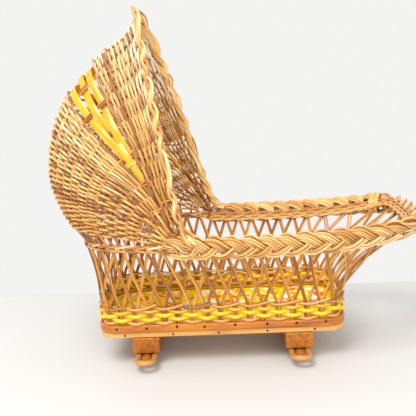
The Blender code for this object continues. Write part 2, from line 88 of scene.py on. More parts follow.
# ---- canes, strips and rows of the hood
ROW_CANE = 1.58 * MM
HOOD_STAKE_CANE = 1.4 * MM
LATTICE_CANE = 1.08 * MM
RIM_CANE = 1.45 * MM
TWIST_CANE = 1.7 * MM
HOOD_STAKES = 15
PAIR_HALF_GAP = 1.55 * MM
PAIRED_FROM = radians(49)
PAIRED_TO = radians(60)
PARTING_BELOW = radians(9)
PARTING_ABOVE = radians(6)
ROW_SPACE = 1.7 * MM
ROW_SHIFT = 0.28
# First and last angle of each weave, its number of rows, and how far a row swings past a stake.
LOWER_WEAVE = (radians(6.6), radians(49.6), 49, 2.7 * MM)
FRONT_WEAVE = (radians(60.2), radians(76.2), 20, 3.3 * MM)
SPREAD_FROM = 0.66
SPREAD_RUN = 0.26
STRIP_GAP = 0.012
YELLOW_ANGLES = (51.5, 54.9, 58.3)
STRIP_HALF_WIDTH = 4.6 * MM
STRIP_HALF_THICK = 0.7 * MM


def srgb(r, g, b):
    """Linear colour from an 8-bit screen colour."""
    def one(v):
        v /= 255
        return v / 12.92 if v <= 0.04045 else ((v + 0.055) / 1.055) ** 2.4
    return (one(r), one(g), one(b), 1.0)


def unit(v):
    return v / np.maximum(np.linalg.norm(v, axis=-1, keepdims=True), 1e-12)


def part_along(vectors, along):
    """The part of each vector that lies along a unit direction."""
    return along * (vectors * along).sum(1, keepdims=True)


def run_along(points):
    """Distance run along a polyline at each of its points."""
    return np.concatenate([[0], np.cumsum(np.linalg.norm(np.diff(points, axis=0), axis=1))])


def read(table, keys, at, period=None):
    """Points of a table, read between its keys."""
    return np.stack([np.interp(at, keys, table[:, k], period=period) for k in range(3)], -1)


def directions(path, closed=False):
    """Unit direction of travel at each point of a path."""
    if closed:
        return unit(np.roll(path, -1, 0) - np.roll(path, 1, 0))
    return unit(np.gradient(path, axis=0))


# ---- surfaces
def reach_table():
    """The hood's reach from its pivot, smoothly between the knots."""
    x, y = np.array(HOOD_REACH).T
    slopes = np.diff(y) / np.diff(x)
    slopes = np.concatenate([slopes[:1], (y[2:] - y[:-2]) / (x[2:] - x[:-2]), slopes[-1:]])
    shares = np.linspace(-0.1, 1, 441)
    k = np.clip(np.searchsorted(x, shares) - 1, 0, len(x) - 2)
    h = x[k + 1] - x[k]
    t = (shares - x[k]) / h
    return shares, ((2 * t ** 3 - 3 * t ** 2 + 1) * y[k] + (t ** 3 - 2 * t ** 2 + t) * h * slopes[k]
                    + (3 * t ** 2 - 2 * t ** 3) * y[k + 1] + (t ** 3 - t ** 2) * h * slopes[k + 1])


REACH_SHARES, REACH_VALUES = reach_table()


def radial_at(theta, phi):
    share = theta / HOOD_ANGLE
    power = REACH_POWER[0] + REACH_POWER[1] * share
    return np.interp(share, REACH_SHARES, REACH_VALUES) * np.abs(np.sin(phi)) ** power


def bent(theta, phi):
    """Rows sag towards the hood's front edge as they near the pivot on each side."""
    room = np.clip(HOOD_ANGLE - EDGE_ROOM / radial_at(HOOD_ANGLE, phi) - theta, 0, None)
    return theta + ROW_BEND * theta * room * (1 - np.sin(phi)) ** 2


def spread(theta, phi):
    """Close to the pivots the rows either side of the yellow strips spread out to close the gap."""
    near = np.clip((SPREAD_FROM - np.minimum(phi, pi - phi)) / SPREAD_RUN, 0, 1)
    low = LOWER_WEAVE[1]
    high, top = FRONT_WEAVE[:2]
    middle = (low + high) / 2
    if theta < middle:
        return theta + near * (middle - low - STRIP_GAP) * (theta / low) ** 2
    return theta - near * (high - middle - STRIP_GAP) * (top - theta) / (top - high)


def hood_base(theta, phi):
    theta, phi = np.broadcast_arrays(np.asarray(theta, float), np.asarray(phi, float))
    share = theta / HOOD_ANGLE
    side = -np.cos(phi)
    y = RIM_HALF_WIDTH * np.sign(side) * np.abs(side) ** (SIDE_POWER[0] + SIDE_POWER[1] * share)
    reach = radial_at(theta, phi)
    x = PIVOT_X + PIVOT_SKEW * y / RIM_HALF_WIDTH - np.cos(theta) * reach
    return np.stack([x, y, PIVOT_Z + np.sin(theta) * reach], -1)


def hood_normal(theta, phi):
    step = 0.004
    du = hood_base(theta + step, phi) - hood_base(theta - step, phi)
    dv = hood_base(theta, phi + step) - hood_base(theta, phi - step)
    return unit(np.cross(du, dv))


def hood_point(theta, phi, offset):
    return hood_base(theta, phi) + hood_normal(theta, phi) * np.asarray(offset)[..., None]


def rim_point(share):
    angle = np.asarray(share, float) * pi
    power = 2.0 / RIM_SQUARENESS
    c = np.cos(angle)
    side = -np.sign(c) * np.abs(c) ** power
    forward = np.abs(np.sin(angle)) ** power
    x = PIVOT_X + PIVOT_SKEW * side * (1 - forward) + (RIM_FOOT_X - PIVOT_X) * forward
    z = PIVOT_Z - RIM_DIP * 4 * forward * (1 - forward) + RIM_FOOT_RISE * forward ** 2
    return np.stack([x, RIM_HALF_WIDTH * side, z], -1)


def resample(points, count, closed=False):
    """Evenly spaced points along a polyline."""
    points = np.asarray(points, float)
    if closed:
        points = np.vstack([points, points[:1]])
    run = run_along(points)
    return read(points, run, np.linspace(0, run[-1], count, endpoint=not closed))


def smooth_path(points, per_leg):
    """Catmull-Rom curve through given points."""
    points = np.asarray(points, float)
    full = np.vstack([2 * points[0] - points[1], points, 2 * points[-1] - points[-2]])
    t = (np.arange(per_leg) / per_leg)[:, None]
    out = [0.5 * (2 * p1 + (p2 - p0) * t + (2 * p0 - 5 * p1 + 4 * p2 - p3) * t ** 2
                  + (3 * p1 - p0 - 3 * p2 + p3) * t ** 3)
           for p0, p1, p2, p3 in zip(full, full[1:], full[2:], full[3:])]
    return np.vstack(out + [full[-2:-1]])


def rounded_rectangle(half_x, half_y, corner, count):
    """Evenly spaced points and outward directions, from the middle of the +X side towards +Y."""
    steps = 33
    arcs = []
    for quarter, (sx, sy) in enumerate(((1, 1), (-1, 1), (-1, -1), (1, -1))):
        angle = pi / 2 * (quarter + np.linspace(0, 1, steps))
        arcs.append(np.stack([sx * (half_x - corner) + corner * np.cos(angle),
                              sy * (half_y - corner) + corner * np.sin(angle),
                              np.zeros(steps)], -1))
    outline = np.vstack([[[half_x, 0, 0]]] + arcs)
    points = resample(outline, count, closed=True)
    return points, np.cross(directions(points, closed=True), UP)


# ---- canes
GRAIN_SHIFT = 3.0
SHARP_CANE = radians(55)


class Bundle:
    """Many canes gathered into one mesh, each vertex knowing its run, turn and cane tone."""

    def __init__(self):
        self.verts = []
        self.faces = []
        self.strand = []
        self.count = 0

    def cane(self, path, radius, sides, tone=None, out=None, wide=1.0, closed=False):
        """Round cane along a path, made wider across its outward direction by the factor wide."""
        if tone is None:
            tone = random.random()
        if out is None:
            out = carried_normals(directions(path, closed))
        turn = np.arange(sides) * 2 * pi / sides
        half_width = wide * radius * np.sin(turn)
        self.sweep(path, out, half_width, radius * np.cos(turn), turn / (2 * pi), tone, closed)

    def ribbon(self, path, out, half_width, half_thick, tone, closed=False, sides=8):
        """Flat strip with rounded edges lying along a surface whose outward direction is out."""
        turn = (np.arange(sides) + 0.5) * 2 * pi / sides
        c = np.cos(turn)
        s = np.sin(turn)
        wide = np.sign(c) * np.abs(c) ** 0.35 * half_width
        thick = np.sign(s) * np.abs(s) ** 0.8 * half_thick
        self.sweep(path, out, wide, thick, wide / (2 * half_width), tone, closed)

    def sweep(self, path, out, wide, thick, turn, tone, closed):
        """Carries an outline along a path; each vertex keeps its run, its turn and the cane's tone."""
        along = directions(path, closed)
        out = unit(out - part_along(out, along))
        across = np.cross(along, out)
        ring = path[:, None] + wide[:, None] * across[:, None] + thick[:, None] * out[:, None]
        count, sides = ring.shape[:2]
        index = self.count + np.arange(count * sides).reshape(count, sides)
        after = np.roll(index, -1, 0) if closed else index[1:]
        here = index if closed else index[:-1]
        quads = np.stack([here, after, np.roll(after, -1, 1), np.roll(here, -1, 1)], -1)
        self.faces += quads.reshape(-1, 4).tolist()
        if not closed:
            self.faces += [index[0].tolist(), index[-1][::-1].tolist()]
        self.verts.append(ring.reshape(-1, 3))
        strand = np.zeros((count, sides, 3))
        strand[..., 0] = (run_along(path) + tone * GRAIN_SHIFT)[:, None]
        strand[..., 1] = turn[None]
        strand[..., 2] = tone
        self.strand.append(strand.reshape(-1, 3))
        self.count += count * sides

    def build(self, name, material, slot, nodes=()):
        mesh = bpy.data.meshes.new(name)
        mesh.from_pydata(np.vstack(self.verts).tolist(), [], self.faces)
        strand = mesh.attributes.new("strand", "FLOAT_VECTOR", "POINT")
        strand.data.foreach_set("vector", np.vstack(self.strand).ravel())
        mesh.update()
        shape = bmesh.new()
        shape.from_mesh(mesh)
        faced_out(shape, mesh)
        mesh.shade_smooth()
        mesh.set_sharp_from_angle(angle=SHARP_CANE)
        dress(placed(name, mesh), material, nodes)


def faced_out(shape, mesh):
    """Writes a shape to a mesh with every face turned outward."""
    bmesh.ops.recalc_face_normals(shape, faces=shape.faces[:])
    shape.to_mesh(mesh)
    shape.free()


def placed(name, data):
    """New object in the scene that shows a mesh, a lamp or a camera."""
    piece = bpy.data.objects.new(name, data)
    bpy.context.scene.collection.objects.link(piece)
    return piece


def carried_normals(along):
    """A normal carried along a path without twisting."""
    start = UP if abs(along[0][2]) < 0.9 else FORWARD
    normal = unit(start - along[0] * start.dot(along[0]))
    result = [normal]
    for direction in along[1:]:
        normal = unit(normal - direction * normal.dot(direction))
        result.append(normal)
    return np.array(result)


def dress(piece, material, nodes=(), body="cradle"):
    piece.data.materials.clear()
    piece.data.materials.append(material)
    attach(piece, body)
    if nodes:
        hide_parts(*nodes)


# ---- materials
WHITE = (1.0, 1.0, 1.0, 1)
BLACK = (0.0, 0.0, 0.0, 1)


def new_material(name):
    material = bpy.data.materials.new(name)
    material.use_nodes = True
    tree = material.node_tree
    return material, tree, tree.nodes["Principled BSDF"]


def node(tree, kind, **settings):
    made = tree.nodes.new(kind)
    for key, value in settings.items():
        setattr(made, key, value)
    return made


def plug(socket, value):
    """Links a socket to another one, or sets its uniform value."""
    if isinstance(value, bpy.types.NodeSocket):
        socket.id_data.links.new(value, socket)
    else:
        socket.default_value = value


def fill(made, **values):
    """Plugs a node's named sockets; an underscore stands for a space."""
    for key, value in values.items():
        plug(made.inputs[key.replace("_", " ")], value)


def ramp(tree, source, stops):
    made = node(tree, "ShaderNodeValToRGB")
    elements = made.color_ramp.elements
    while len(elements) < len(stops):
        elements.new(0.5)
    for element, (place, colour) in zip(elements, stops):
        element.position = place
        element.color = colour
    fill(made, Fac=source)
    return made.outputs["Color"]


def mix(tree, kind, factor, a, b):
    made = node(tree, "ShaderNodeMix", data_type="RGBA", blend_type=kind)
    fill(made, Factor=factor, A=a, B=b)
    return made.outputs["Result"]


def vector(tree, operation, a, b):
    made = node(tree, "ShaderNodeVectorMath", operation=operation)
    plug(made.inputs[0], a)
    plug(made.inputs[1], b)
    return made.outputs[0]


def noise(tree, **values):
    made = node(tree, "ShaderNodeTexNoise")
    fill(made, **values)
    return made


def object_space(tree):
    return node(tree, "ShaderNodeTexCoord").outputs["Object"]


def height_of(tree, source):
    """Third part of a vector: the height of a place, or the tone of a cane."""
    parts = node(tree, "ShaderNodeSeparateXYZ")
    fill(parts, Vector=source)
    return parts.outputs["Z"]


def strand_space(tree):
    return node(tree, "ShaderNodeAttribute", attribute_name="strand").outputs["Vector"]


def strand_noise(tree, stretch, detail=3.0):
    """Noise drawn in cane space: along the cane, round it, and different for each cane."""
    scaled = vector(tree, "MULTIPLY", strand_space(tree), stretch)
    return noise(tree, Vector=scaled, Scale=1.0, Detail=detail, Roughness=0.55).outputs["Fac"]


def surface(tree, shader, colour, height, strength, distance, **values):
    """Colour, bump and plain values of a finished material."""
    bump = node(tree, "ShaderNodeBump")
    fill(bump, Strength=strength, Distance=distance, Height=height)
    fill(shader, Base_Color=colour, Normal=bump.outputs["Normal"], **values)


def cane_material(name, pale, middle, dark, painted_height_shade=()):
    """Peeled willow: long fibres, darker blotches and a different shade on every cane.

    A ramp by height paints light and shade: the canes sit warmer and deeper the lower they are, as painted
    shade, and stay pale at the top, as painted light."""
    material, tree, shader = new_material(name)
    shades = ((0.0, srgb(*dark)), (0.4, srgb(*middle)), (0.7, srgb(*middle)), (1.0, srgb(*pale)))
    tone = ramp(tree, height_of(tree, strand_space(tree)), shades)
    fibre = strand_noise(tree, (14.0, 6.0, 31.0))
    blotch = strand_noise(tree, (38.0, 1.0, 57.0), detail=2.0)
    fibre_colour = ramp(tree, fibre, ((0.28, (0.52, 0.40, 0.26, 1)), (0.6, WHITE)))
    blotch_colour = ramp(tree, blotch, ((0.30, (0.80, 0.70, 0.58, 1)), (0.52, WHITE)))
    colour = mix(tree, "MULTIPLY", 0.75, tone, fibre_colour)
    colour = mix(tree, "MULTIPLY", 0.7, colour, blotch_colour)
    # Painted shade by height: the colour is multiplied darker and warmer the lower the cane sits.
    if painted_height_shade:
        height_shaded_colour = ramp(tree, height_of(tree, object_space(tree)), painted_height_shade)
        colour = mix(tree, "MULTIPLY", 1.0, colour, height_shaded_colour)
    surface(tree, shader, colour, fibre, 0.35, 0.4 * MM, Roughness=0.34, Coat_Weight=0.5, Coat_Roughness=0.25)
    return material


def paint_material(name, bright, deep, worn, wear=0.0):
    """Yellow paint brushed on split cane, thinner and browner where it has worn."""
    material, tree, shader = new_material(name)
    brushed = strand_noise(tree, (12.0, 5.0, 23.0))
    patch = strand_noise(tree, (45.0, 2.0, 61.0), detail=4.0)
    colour = ramp(tree, brushed, ((0.3, srgb(*deep)), (0.62, srgb(*bright))))
    rubbed = ramp(tree, patch, ((0.62 - wear, BLACK), (0.74 - wear * 0.6, WHITE)))
    colour = mix(tree, "MIX", rubbed, colour, srgb(*worn))
    surface(tree, shader, colour, brushed, 0.3, 0.3 * MM, Roughness=0.32, Coat_Weight=0.35,
            Coat_Roughness=0.2)
    return material


def wood_material(name, light, middle, dark, scale, roughness, coat, axis=0):
    """Plain wood with grain running along one axis, a few darker streaks and fine pores."""
    material, tree, shader = new_material(name)
    place = object_space(tree)
    stretch = [(6.0 if k == axis else 90.0) * scale for k in range(3)]
    long = vector(tree, "MULTIPLY", place, stretch)
    grain = noise(tree, Vector=long, Scale=1.0, Detail=6.0, Roughness=0.6, Distortion=0.6).outputs["Fac"]
    colour = ramp(tree, grain, ((0.28, srgb(*dark)), (0.45, srgb(*middle)), (0.7, srgb(*light))))
    spots = noise(tree, Vector=place, Scale=28.0, Detail=3.0)
    shade = ramp(tree, spots.outputs["Fac"], ((0.3, (0.66, 0.56, 0.44, 1)), (0.6, WHITE)))
    colour = mix(tree, "MULTIPLY", 0.7, colour, shade)
    surface(tree, shader, colour, grain, 0.25, 0.3 * MM, Roughness=roughness, Coat_Weight=coat,
            Coat_Roughness=0.2)
    return material


def nail_material():
    material, tree, shader = new_material("rusted_nail")
    rust = noise(tree, Scale=900.0).outputs["Fac"]
    colour = ramp(tree, rust, ((0.35, srgb(46, 30, 20)), (0.65, srgb(94, 66, 44))))
    surface(tree, shader, colour, rust, 0.3, 0.2 * MM, Metallic=0.6, Roughness=0.55)
    return material


# Ground of the print, then its layers: size of the blotches, where they begin, their seed and colour.
PRINT_GROUND = (255, 222, 0)
PRINT_LAYERS = ((74.0, 0.56, 0.575, 0.0, (255, 252, 240)), (60.0, 0.66, 0.68, 3.1, (212, 186, 20)),
                (66.0, 0.585, 0.60, 6.3, (242, 104, 48)), (120.0, 0.64, 0.66, 9.9, (248, 160, 24)))
THREAD_SCALE = 900.0


def printed_cloth():
    """Large loose floral print: white, olive, salmon and orange blotches on bright yellow cloth."""
    material, tree, shader = new_material("printed_cloth")
    place = object_space(tree)
    warp = noise(tree, Vector=place, Scale=45.0, Detail=3.0).outputs["Color"]
    moved = vector(tree, "ADD", place, vector(tree, "MULTIPLY", warp, (0.02, 0.02, 0.02)))
    colour = srgb(*PRINT_GROUND)
    for scale, low, high, seed, layer in PRINT_LAYERS:
        shifted = vector(tree, "ADD", moved, (seed, seed * 1.7, 0))
        cells = noise(tree, Vector=shifted, Scale=scale, Detail=1.5)
        blotches = ramp(tree, cells.outputs["Fac"], ((low, BLACK), (high, WHITE)))
        colour = mix(tree, "MIX", blotches, colour, srgb(*layer))
    weave = node(tree, "ShaderNodeMath", operation="MAXIMUM")
    for k, axis in enumerate("XY"):
        threads = node(tree, "ShaderNodeTexWave", wave_type="BANDS", bands_direction=axis)
        fill(threads, Vector=place, Scale=THREAD_SCALE)
        plug(weave.inputs[k], threads.outputs["Fac"])
    surface(tree, shader, colour, weave.outputs[0], 0.25, 0.15 * MM, Roughness=0.7, Specular_IOR_Level=0.1)
    return material


# Painted shade by height for the hood canes: warm and dark low down, fading to white (no change) higher up
# where the light falls.
BACK_PAINTED_SHADE = ((0.18, (0.82, 0.57, 0.23, 1)), (0.26, (0.98, 0.90, 0.72, 1)), (0.35, (1.0, 1.0, 0.98, 1)))
FRONT_PAINTED_SHADE = ((0.20, (0.62, 0.37, 0.11, 1)), (0.30, (0.88, 0.70, 0.42, 1)), (0.38, WHITE))
NATURAL = cane_material("natural_cane", (252, 222, 164), (218, 160, 78), (152, 88, 22))
BACK = cane_material("hood_cane", (255, 242, 208), (230, 196, 130), (156, 94, 30), BACK_PAINTED_SHADE)
BROWN = cane_material("brown_cane", (216, 150, 76), (186, 116, 44), (148, 84, 22))
# The front weave's palette is paler than the other canes: partly bleached cane, partly painted light on the
# top of the hood where the lamp falls.
FRONT = cane_material("front_cane", (255, 248, 228), (236, 212, 160), (170, 114, 52), FRONT_PAINTED_SHADE)
STAKE = cane_material("stake_cane", (238, 180, 84), (208, 140, 38), (152, 88, 10))
RIM = cane_material("rim_cane", (255, 228, 172), (240, 192, 112), (196, 132, 52))
YELLOW = paint_material("yellow_paint", (252, 206, 14), (234, 174, 4), (206, 138, 44))
FADED = paint_material("faded_paint", (236, 178, 18), (214, 140, 4), (198, 126, 40))
GOLD = paint_material("gold_paint", (236, 190, 40), (212, 154, 16), (178, 110, 36), wear=0.10)
FLOOR_PAINT = paint_material("floor_paint", (255, 220, 10), (250, 206, 6), (240, 190, 30))
BOARD_WOOD = wood_material("board_wood", (238, 184, 104), (226, 164, 80), (196, 126, 46), 1.0, 0.4, 0.25)
STRIP_WOOD = wood_material("strip_wood", (208, 132, 24), (190, 110, 10), (142, 74, 4), 1.2, 0.4, 0.2)
BLOCK_WOOD = wood_material("block_wood", (190, 120, 16), (168, 96, 6), (98, 48, 2), 2.2, 0.45, 0.15, axis=1)
NAIL = nail_material()
PRINT = printed_cloth()


# ---- boards and nails
OUTLINE_STEPS = 220
BOARD_CHAMFER = 11 * MM
BOARD_ROUNDING = 1.2 * MM
STRIP_BOARD_HALF = 2.0 * MM
STRIP_BOARD_CORNER = 24 * MM
STRIP_WOBBLE = 0.25 * MM
STRIP_WAVES = 7
COAT_HALF_THICK = 0.25 * MM
COAT_CORNER = 22 * MM
COAT_MARGIN = 0.6 * MM
FLOOR_CORNER = 21 * MM
FLOOR_ROUNDING = 0.6 * MM
STRIP_NAILS = (8, -125 * MM, 35.5 * MM)
BOARD_NAILS = (5, -118 * MM, 57 * MM)
END_NAILS = (-32 * MM, 0.0, 32 * MM)
NAIL_RADIUS = 1.75 * MM
SMALL_NAIL_RADIUS = 1.4 * MM


def half_sizes(box):
    return (box[1][0] - box[0][0]) / 2, (box[1][1] - box[0][1]) / 2


def extruded(name, outline, low, high, rounding):
    """Board cut to an outline, its edges rounded."""
    shape = bmesh.new()
    face = shape.faces.new([shape.verts.new((x, y, low)) for x, y in outline])
    lifted = bmesh.ops.extrude_face_region(shape, geom=[face])
    for item in lifted["geom"]:
        if isinstance(item, bmesh.types.BMVert):
            item.co.z = high
    mesh = bpy.data.meshes.new(name)
    faced_out(shape, mesh)
    piece = placed(name, mesh)
    rounded(piece, rounding)
    return piece


def rounded(piece, width):
    modifier = piece.modifiers.new("rounded", "BEVEL")
    modifier.width = width
    modifier.segments = 3
    modifier.limit_method = "ANGLE"
    modifier.angle_limit = radians(40)
    piece.data.shade_smooth()
    piece.data.set_sharp_from_angle(angle=radians(50))


def build_board():
    (x0, y0, z0), (x1, y1, z1) = BOARD
    c = BOARD_CHAMFER
    outline = [(x1, y0 + c), (x1, y1 - c), (x1 - c, y1), (x0 + c, y1),
               (x0, y1 - c), (x0, y0 + c), (x0 + c, y0), (x1 - c, y0)]
    board = extruded("lower_board", outline, z0, z1, BOARD_ROUNDING)
    dress(board, BOARD_WOOD, ("base_board",))


def build_edge_strip():
    """Bent strip round the base, with golden paint on its inner face above the floor."""
    half_x, half_y = half_sizes(STRIP)
    low = STRIP[0][2]
    high = STRIP[1][2]
    thick = STRIP_BOARD_HALF
    path, out = rounded_rectangle(half_x - thick, half_y - thick, STRIP_BOARD_CORNER, OUTLINE_STEPS)
    path = path + np.array((BASE_X, 0, (low + high) / 2))
    swing = np.linspace(0, 2 * pi * STRIP_WAVES, OUTLINE_STEPS, endpoint=False)
    path = path + out * (STRIP_WOBBLE * np.sin(swing))[:, None]
    strip = Bundle()
    strip.ribbon(path, out, (high - low) / 2, thick, tone=0.4, closed=True, sides=16)
    strip.build("bent_edge_strip", STRIP_WOOD, "strip_wood", ("base_edge_strip",))

    inset = 2 * thick + 0.1 * MM
    low = FLOOR[1][2]
    path, out = rounded_rectangle(half_x - inset, half_y - inset, COAT_CORNER, OUTLINE_STEPS)
    path = path + np.array((BASE_X, 0, (low + high) / 2))
    coat = Bundle()
    coat.ribbon(path, out, (high - low) / 2 - COAT_MARGIN, COAT_HALF_THICK, tone=0.4, closed=True)
    coat.build("inner_paint", GOLD, "gold_paint")


def build_floor():
    points, _ = rounded_rectangle(*half_sizes(FLOOR), FLOOR_CORNER, 64)
    outline = [(p[0] + BASE_X, p[1]) for p in points]
    floor = extruded("floor_panel", outline, FLOOR[0][2], FLOOR[1][2], FLOOR_ROUNDING)
    dress(floor, FLOOR_PAINT, ("floor_board",))


def nail_head(shape, place, out, radius):
    """Slightly domed round head standing on a surface."""
    turn = Vector(out).to_track_quat("Z", "Y").to_matrix().to_4x4()
    made = bmesh.ops.create_uvsphere(shape, u_segments=12, v_segments=6, radius=radius)
    for vert in made["verts"]:
        vert.co.z *= 0.45
    bmesh.ops.transform(shape, matrix=Matrix.Translation(Vector(place)) @ turn, verts=made["verts"])


def build_nails():
    shape = bmesh.new()
    (x0, _, _), (x1, y1, top) = STRIP
    rng = random.Random(3)
    for side in (-1, 1):
        count, first, step = STRIP_NAILS
        for k in range(count):
            x = BASE_X + first + step * k + rng.uniform(-2, 2) * MM
            z = top - (3.2 + rng.uniform(-0.8, 1.2)) * MM
            nail_head(shape, (x, side * y1, z), (0, side, 0), NAIL_RADIUS)
        count, first, step = BOARD_NAILS
        for k in range(count):
            x = BASE_X + first + step * k + rng.uniform(-3, 3) * MM
            z = (BOARD[0][2] + BOARD[1][2]) / 2
            nail_head(shape, (x, side * BOARD[1][1], z), (0, side, 0), SMALL_NAIL_RADIUS)
    for end, x in ((-1, x0), (1, x1)):
        for y in END_NAILS:
            nail_head(shape, (x, y, top - 4 * MM), (end, 0, 0), NAIL_RADIUS)
    mesh = bpy.data.meshes.new("nails")
    faced_out(shape, mesh)
    mesh.shade_smooth()
    dress(placed("nails", mesh), NAIL)


# ---- rockers
ROCKER_RADIUS = 300 * MM
STRAIGHT_FROM = 68 * MM
END_SLOPE = 0.11
BLOCK_LIFT = 7.2 * MM
BLOCK_ROUNDING = 1.6 * MM
ROD_RADIUS = 3.5 * MM
ROD_LIFT = 3.4 * MM
ROD_HALF_WIDTH = 9.6 * MM
BAR_LIFT = 3.9 * MM
BAR_HALF_HEIGHT = 2.5 * MM
BAR_HALF_WIDTH = 5.2 * MM
BAR_TAPER = 5 * MM
BAR_STEPS = 41
ROCKER_SIDES = 14


def rocker_height(y):
    return ROCKER_RADIUS - np.sqrt(ROCKER_RADIUS ** 2 - y ** 2)


def rocker_line(y, lift):
    """Height along a rocker: it follows the rocker's curve, then runs straight on to its end."""
    held = np.minimum(np.abs(y), STRAIGHT_FROM)
    return rocker_height(held) + lift + END_SLOPE * (np.abs(y) - held)


def build_rocker_block(end):
    name = "rocker_block_" + end
    (x0, y0, _), (x1, y1, top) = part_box(name)
    shape = bmesh.new()
    rows = []
    for y in np.linspace(y0, y1, 25):
        low = float(rocker_height(y)) + BLOCK_LIFT
        rows.append([shape.verts.new(p) for p in ((x0, y, low), (x0, y, top), (x1, y, top), (x1, y, low))])
    for a, b in zip(rows, rows[1:]):
        for k in range(4):
            j = (k + 1) % 4
            shape.faces.new((a[k], a[j], b[j], b[k]))
    shape.faces.new(rows[0])
    shape.faces.new(rows[-1][::-1])
    mesh = bpy.data.meshes.new(name + "_wood")
    faced_out(shape, mesh)
    block = placed(mesh.name, mesh)
    rounded(block, BLOCK_ROUNDING)
    dress(block, BLOCK_WOOD, (name,))
    return (x0 + x1) / 2


def build_rocker(end):
    """Wooden block, a cane bent into a long loop under it, and a flat bar inside the loop."""
    middle = build_rocker_block(end)
    name = "rocker_rod_" + end
    (_, y0, _), (_, y1, _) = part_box(name)
    half = ROD_HALF_WIDTH
    straight = (y1 - y0) / 2 - half - ROD_RADIUS
    y = np.linspace(-straight, straight, 40)
    turn = np.linspace(0, pi, 18)[1:-1]
    loop = np.concatenate([np.stack([np.full(40, half), y], -1),
                           np.stack([half * np.cos(turn), straight + half * np.sin(turn)], -1)])
    loop = np.concatenate([loop, -loop])
    path = np.stack([middle + loop[:, 0], loop[:, 1], rocker_line(loop[:, 1], ROD_LIFT)], -1)
    rod = Bundle()
    rod.cane(path, ROD_RADIUS, ROCKER_SIDES, tone=0.35, closed=True)
    rod.build(name + "_cane", NATURAL, "cane", (name,))

    name = "rocker_bar_" + end
    (_, y0, _), (_, y1, _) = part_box(name)
    y = np.linspace(y0, y1, BAR_STEPS)
    path = np.stack([np.full(BAR_STEPS, middle), y, rocker_line(y, BAR_LIFT)], -1)
    from_end = np.clip(np.minimum(y - y0, y1 - y) / BAR_TAPER, 0, 1)
    pinch = np.sqrt(np.clip(1 - (1 - from_end) ** 2, 0.02, 1))
    bar = Bundle()
    bar.cane(path, BAR_HALF_HEIGHT, ROCKER_SIDES, tone=0.5, out=UP)
    verts = bar.verts[0].reshape(BAR_STEPS, ROCKER_SIDES, 3)
    verts[..., 0] = middle + (verts[..., 0] - middle) * (BAR_HALF_WIDTH / BAR_HALF_HEIGHT) * pinch[:, None]
    bar.build(name + "_cane", BROWN, "strip_wood", (name,))


# ---- base weave
STEPS_PER_GROUP = 10
WALING_STEPS = 20
ROW_WAVE = 3.0 * MM
# Piece, material, slot, CAD node, radius, and the stake groups by which its wave is shifted.
BASE_ROWS = (("base_row_natural", NATURAL, "cane", "weave_row_natural_low", 2.0 * MM, 0),
             ("base_row_yellow_low", YELLOW, "yellow_paint", "weave_row_yellow_low", 2.4 * MM, 1),
             ("base_row_yellow_mid", YELLOW, "yellow_paint", "weave_row_yellow_mid", 2.4 * MM, 0),
             ("base_row_gold", GOLD, "gold_paint", "weave_row_gold", 2.1 * MM, 1))


def stake_feet(steps):
    points, out = rounded_rectangle(*WEAVE_OUTLINE, STAKE_GROUPS * steps)
    return points + np.array((BASE_X, 0, 0)), out


def build_base_weave():
    points, out = stake_feet(STEPS_PER_GROUP)
    phase = np.arange(len(points)) / STEPS_PER_GROUP * pi
    for row, (name, material, slot, cad, radius, shift) in enumerate(BASE_ROWS):
        wave = np.cos(phase + pi * shift)
        path = points + out * (ROW_WAVE * wave)[:, None]
        sag = -0.9 * MM * np.clip(wave, 0, 1) + 0.35 * MM * np.sin(phase * 0.37 + row)
        path[:, 2] = WEAVE_Z + ROW_PITCH * (row + 0.5) + sag
        bundle = Bundle()
        bundle.cane(path, radius, 8, tone=0.5, out=out, wide=1.05, closed=True)
        bundle.build(name, material, slot, (cad,))


def build_base_waling():
    """Top row: each cane dips in front of one stake group and its cut end stands up past the next.

    A partner runs with it on the inner side of the stakes."""
    rng = random.Random(17)
    bundle = Bundle()
    level = WEAVE_Z + ROW_PITCH * 4.5
    fine, normal = stake_feet(WALING_STEPS)
    for start in range(0, STAKE_GROUPS, 2):
        knots = ((-1.0, -2.6, -0.2), (-0.55, 0.6, -0.6), (0.0, 3.2, -1.5), (0.55, 3.0, -0.5),
                 (1.0, 2.7, 1.4), (1.35 + rng.uniform(-0.1, 0.2), 2.9, 3.4 + rng.uniform(-0.4, 0.8)))
        curve = smooth_path(knots, 6)
        at = (start + curve[:, 0]) * WALING_STEPS
        foot = wrapped(fine, at)
        side = unit(wrapped(normal, at))
        path = foot + side * (curve[:, 1] * MM)[:, None]
        path[:, 2] = level + curve[:, 2] * MM
        bundle.cane(path, 1.55 * MM, 8, out=side)
        partner = foot - side * (curve[:, 1] * MM * 0.9)[:, None]
        partner[:, 2] = level + (0.6 + 0.25 * curve[:, 2] + rng.uniform(-0.2, 0.2)) * MM
        bundle.cane(partner, 1.4 * MM, 7, out=side)
    bundle.build("base_row_waling", NATURAL, "cane", ("weave_row_waling",))


def wrapped(table, at):
    """Points of a closed table, read at fractional positions."""
    count = len(table)
    return read(np.vstack([table, table[:1]]), np.arange(count + 1), at % count)


# ---- open lattice
TILT_SIDES = 14
TILT_FOOT = 42
TILT_FROM = 0.66
WALL_STEPS = 960
LATTICE_STEPS = 24
LATTICE_LEVELS = (-0.42, 1.06)
HIGHEST_LEVEL = 1.1
FOOT_SPLAY = 0.116
LATTICE_REACH = 1.384
GROUP_PITCH = 18.0 * MM
TWIN_PITCH = 2.15 * MM
CROSSING_OFFSET = 1.15 * MM
FOOT_DEPTH = 55 * MM
# The last stake group on each side of the basket, counted from the middle of the foot end.
PANEL_ENDS = ((5, "foot"), (18, "far"), (29, "head"), (42, "near"), (STAKE_GROUPS, "foot"))


def plait_tilt(share):
    """How far the rim flares: nearly upright along the sides, lying well out round the foot end."""
    forward = np.abs(np.sin(np.asarray(share) * pi)) ** (2 / RIM_SQUARENESS)
    return np.radians(TILT_SIDES + TILT_FOOT * np.clip((forward - TILT_FROM) / (1 - TILT_FROM), 0, 1) ** 1.5)


